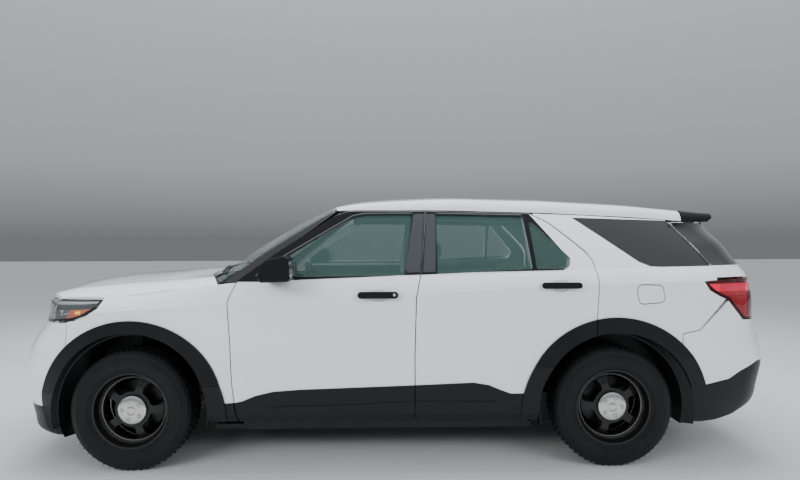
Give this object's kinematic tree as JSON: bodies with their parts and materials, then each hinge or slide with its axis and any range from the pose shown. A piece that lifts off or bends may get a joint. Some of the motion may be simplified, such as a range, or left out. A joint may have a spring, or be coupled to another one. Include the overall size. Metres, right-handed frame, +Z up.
{
  "type": "police patrol car",
  "caption": "White four-door patrol car with a rear liftgate, black lower cladding and plain black steel wheels; doors, hood, liftgate, fuel door, steering and wheels all move.",
  "frame": {"origin": "on the floor under the middle of the car's length and width", "axes": "+X towards the tail, +Y towards the passenger's side, +Z up"},
  "size_m": [5.0496, 2.304, 1.7532],
  "materials": {
    "white_paint": "gloss",
    "dark_paint": "satin",
    "black_plastic": "grained",
    "lamp_clear": "clear over a dark reflector",
    "lamp_red": "gloss",
    "window_glass": "green tint",
    "dark_glass": "privacy tint",
    "cast_alloy": "cast",
    "chassis_steel": "satin",
    "seat_fabric": "woven",
    "cabin_plastic": "grained",
    "tyre_rubber": "matte",
    "wheel_steel": "satin black"
  },
  "bodies": {
    "body": {"floor_pan": "dark_paint", "body_sides": "white_paint", "pillars": "dark_paint", "roof_panel": "white_paint", "fenders": "white_paint", "bumper_covers": "white_paint", "bumper_skirts": "black_plastic", "grille": "black_plastic", "headlamps": "lamp_clear", "tail_lamps": "lamp_red", "windshield": "window_glass", "quarter_glass": "dark_glass", "cowl": "black_plastic", "wheel_liners": "black_plastic", "arch_flares": "black_plastic", "engine": "cast_alloy", "front_suspension": "chassis_steel", "rear_suspension": "chassis_steel", "exhaust": "chassis_steel", "seats": "seat_fabric", "dashboard": "cabin_plastic"},
    "front_door_body_left": {"front_door_left": "white_paint", "front_door_glass_left": "window_glass", "front_door_trim_left": "black_plastic", "mirror_left": "black_plastic"},
    "rear_door_body_left": {"rear_door_left": "white_paint", "rear_door_glass_left": "window_glass", "rear_door_trim_left": "black_plastic"},
    "knuckle_body_left": {"knuckle_left": "chassis_steel"},
    "front_wheel_body_left": {"tyre_front_left": "tyre_rubber", "wheel_front_left": "wheel_steel"},
    "rear_wheel_body_left": {"tyre_rear_left": "tyre_rubber", "wheel_rear_left": "wheel_steel"},
    "front_door_body_right": {"front_door_right": "white_paint", "front_door_glass_right": "window_glass", "front_door_trim_right": "black_plastic", "mirror_right": "black_plastic"},
    "rear_door_body_right": {"rear_door_right": "white_paint", "rear_door_glass_right": "window_glass", "rear_door_trim_right": "black_plastic"},
    "knuckle_body_right": {"knuckle_right": "chassis_steel"},
    "front_wheel_body_right": {"tyre_front_right": "tyre_rubber", "wheel_front_right": "wheel_steel"},
    "rear_wheel_body_right": {"tyre_rear_right": "tyre_rubber", "wheel_rear_right": "wheel_steel"},
    "hood_body": {"hood": "white_paint"},
    "liftgate_body": {"liftgate": "white_paint", "liftgate_glass": "dark_glass", "spoiler": "black_plastic"},
    "fuel_door_body": {"fuel_door": "white_paint"},
    "steering_wheel_body": {"steering_wheel": "cabin_plastic"}
  },
  "joints": [
    {"name": "front_door_hinge_left", "type": "hinge", "parent": "body", "child": "front_door_body_left", "pos_m": [-0.975, -0.968, 0.8], "axis": [0, 0, -1], "range_deg": [0, 68]},
    {"name": "rear_door_hinge_left", "type": "hinge", "parent": "body", "child": "rear_door_body_left", "pos_m": [0.18, -0.968, 0.8], "axis": [0, 0, -1], "range_deg": [0, 68]},
    {"name": "steer_left", "type": "hinge", "parent": "body", "child": "knuckle_body_left", "pos_m": [-1.645, -0.79, 0.376], "axis": [0, 0, 1], "range_deg": [-35, 35]},
    {"name": "front_wheel_spin_left", "type": "hinge", "parent": "knuckle_body_left", "child": "front_wheel_body_left", "pos_m": [-1.645, -0.85, 0.376], "axis": [0, 1, 0], "continuous": true},
    {"name": "rear_wheel_spin_left", "type": "hinge", "parent": "body", "child": "rear_wheel_body_left", "pos_m": [1.38, -0.85, 0.376], "axis": [0, 1, 0], "continuous": true},
    {"name": "front_door_hinge_right", "type": "hinge", "parent": "body", "child": "front_door_body_right", "pos_m": [-0.975, 0.968, 0.8], "axis": [0, 0, 1], "range_deg": [0, 68]},
    {"name": "rear_door_hinge_right", "type": "hinge", "parent": "body", "child": "rear_door_body_right", "pos_m": [0.18, 0.968, 0.8], "axis": [0, 0, 1], "range_deg": [0, 68]},
    {"name": "steer_right", "type": "hinge", "parent": "body", "child": "knuckle_body_right", "pos_m": [-1.645, 0.79, 0.376], "axis": [0, 0, 1], "range_deg": [-35, 35]},
    {"name": "front_wheel_spin_right", "type": "hinge", "parent": "knuckle_body_right", "child": "front_wheel_body_right", "pos_m": [-1.645, 0.85, 0.376], "axis": [0, 1, 0], "continuous": true},
    {"name": "rear_wheel_spin_right", "type": "hinge", "parent": "body", "child": "rear_wheel_body_right", "pos_m": [1.38, 0.85, 0.376], "axis": [0, 1, 0], "continuous": true},
    {"name": "hood_hinge", "type": "hinge", "parent": "body", "child": "hood_body", "pos_m": [-1.116, 0, 1.168], "axis": [0, 1, 0], "range_deg": [0, 48]},
    {"name": "liftgate_hinge", "type": "hinge", "parent": "body", "child": "liftgate_body", "pos_m": [1.99, 0, 1.677], "axis": [0, -1, 0], "range_deg": [0, 82]},
    {"name": "fuel_door_hinge", "type": "hinge", "parent": "body", "child": "fuel_door_body", "pos_m": [1.524, -0.966, 1.09], "axis": [0, 0, -1], "range_deg": [0, 100]},
    {"name": "steering_wheel_turn", "type": "hinge", "parent": "body", "child": "steering_wheel_body", "pos_m": [-0.56, -0.37, 1.102], "axis": [0.9136, 0, 0.4067], "range_deg": [-530, 530]}
  ],
  "couplings": [
    {"joint": "steer_right", "follows": "steer_left", "ratio": 1},
    {"joint": "steering_wheel_turn", "follows": "steer_left", "ratio": 15}
  ]
}
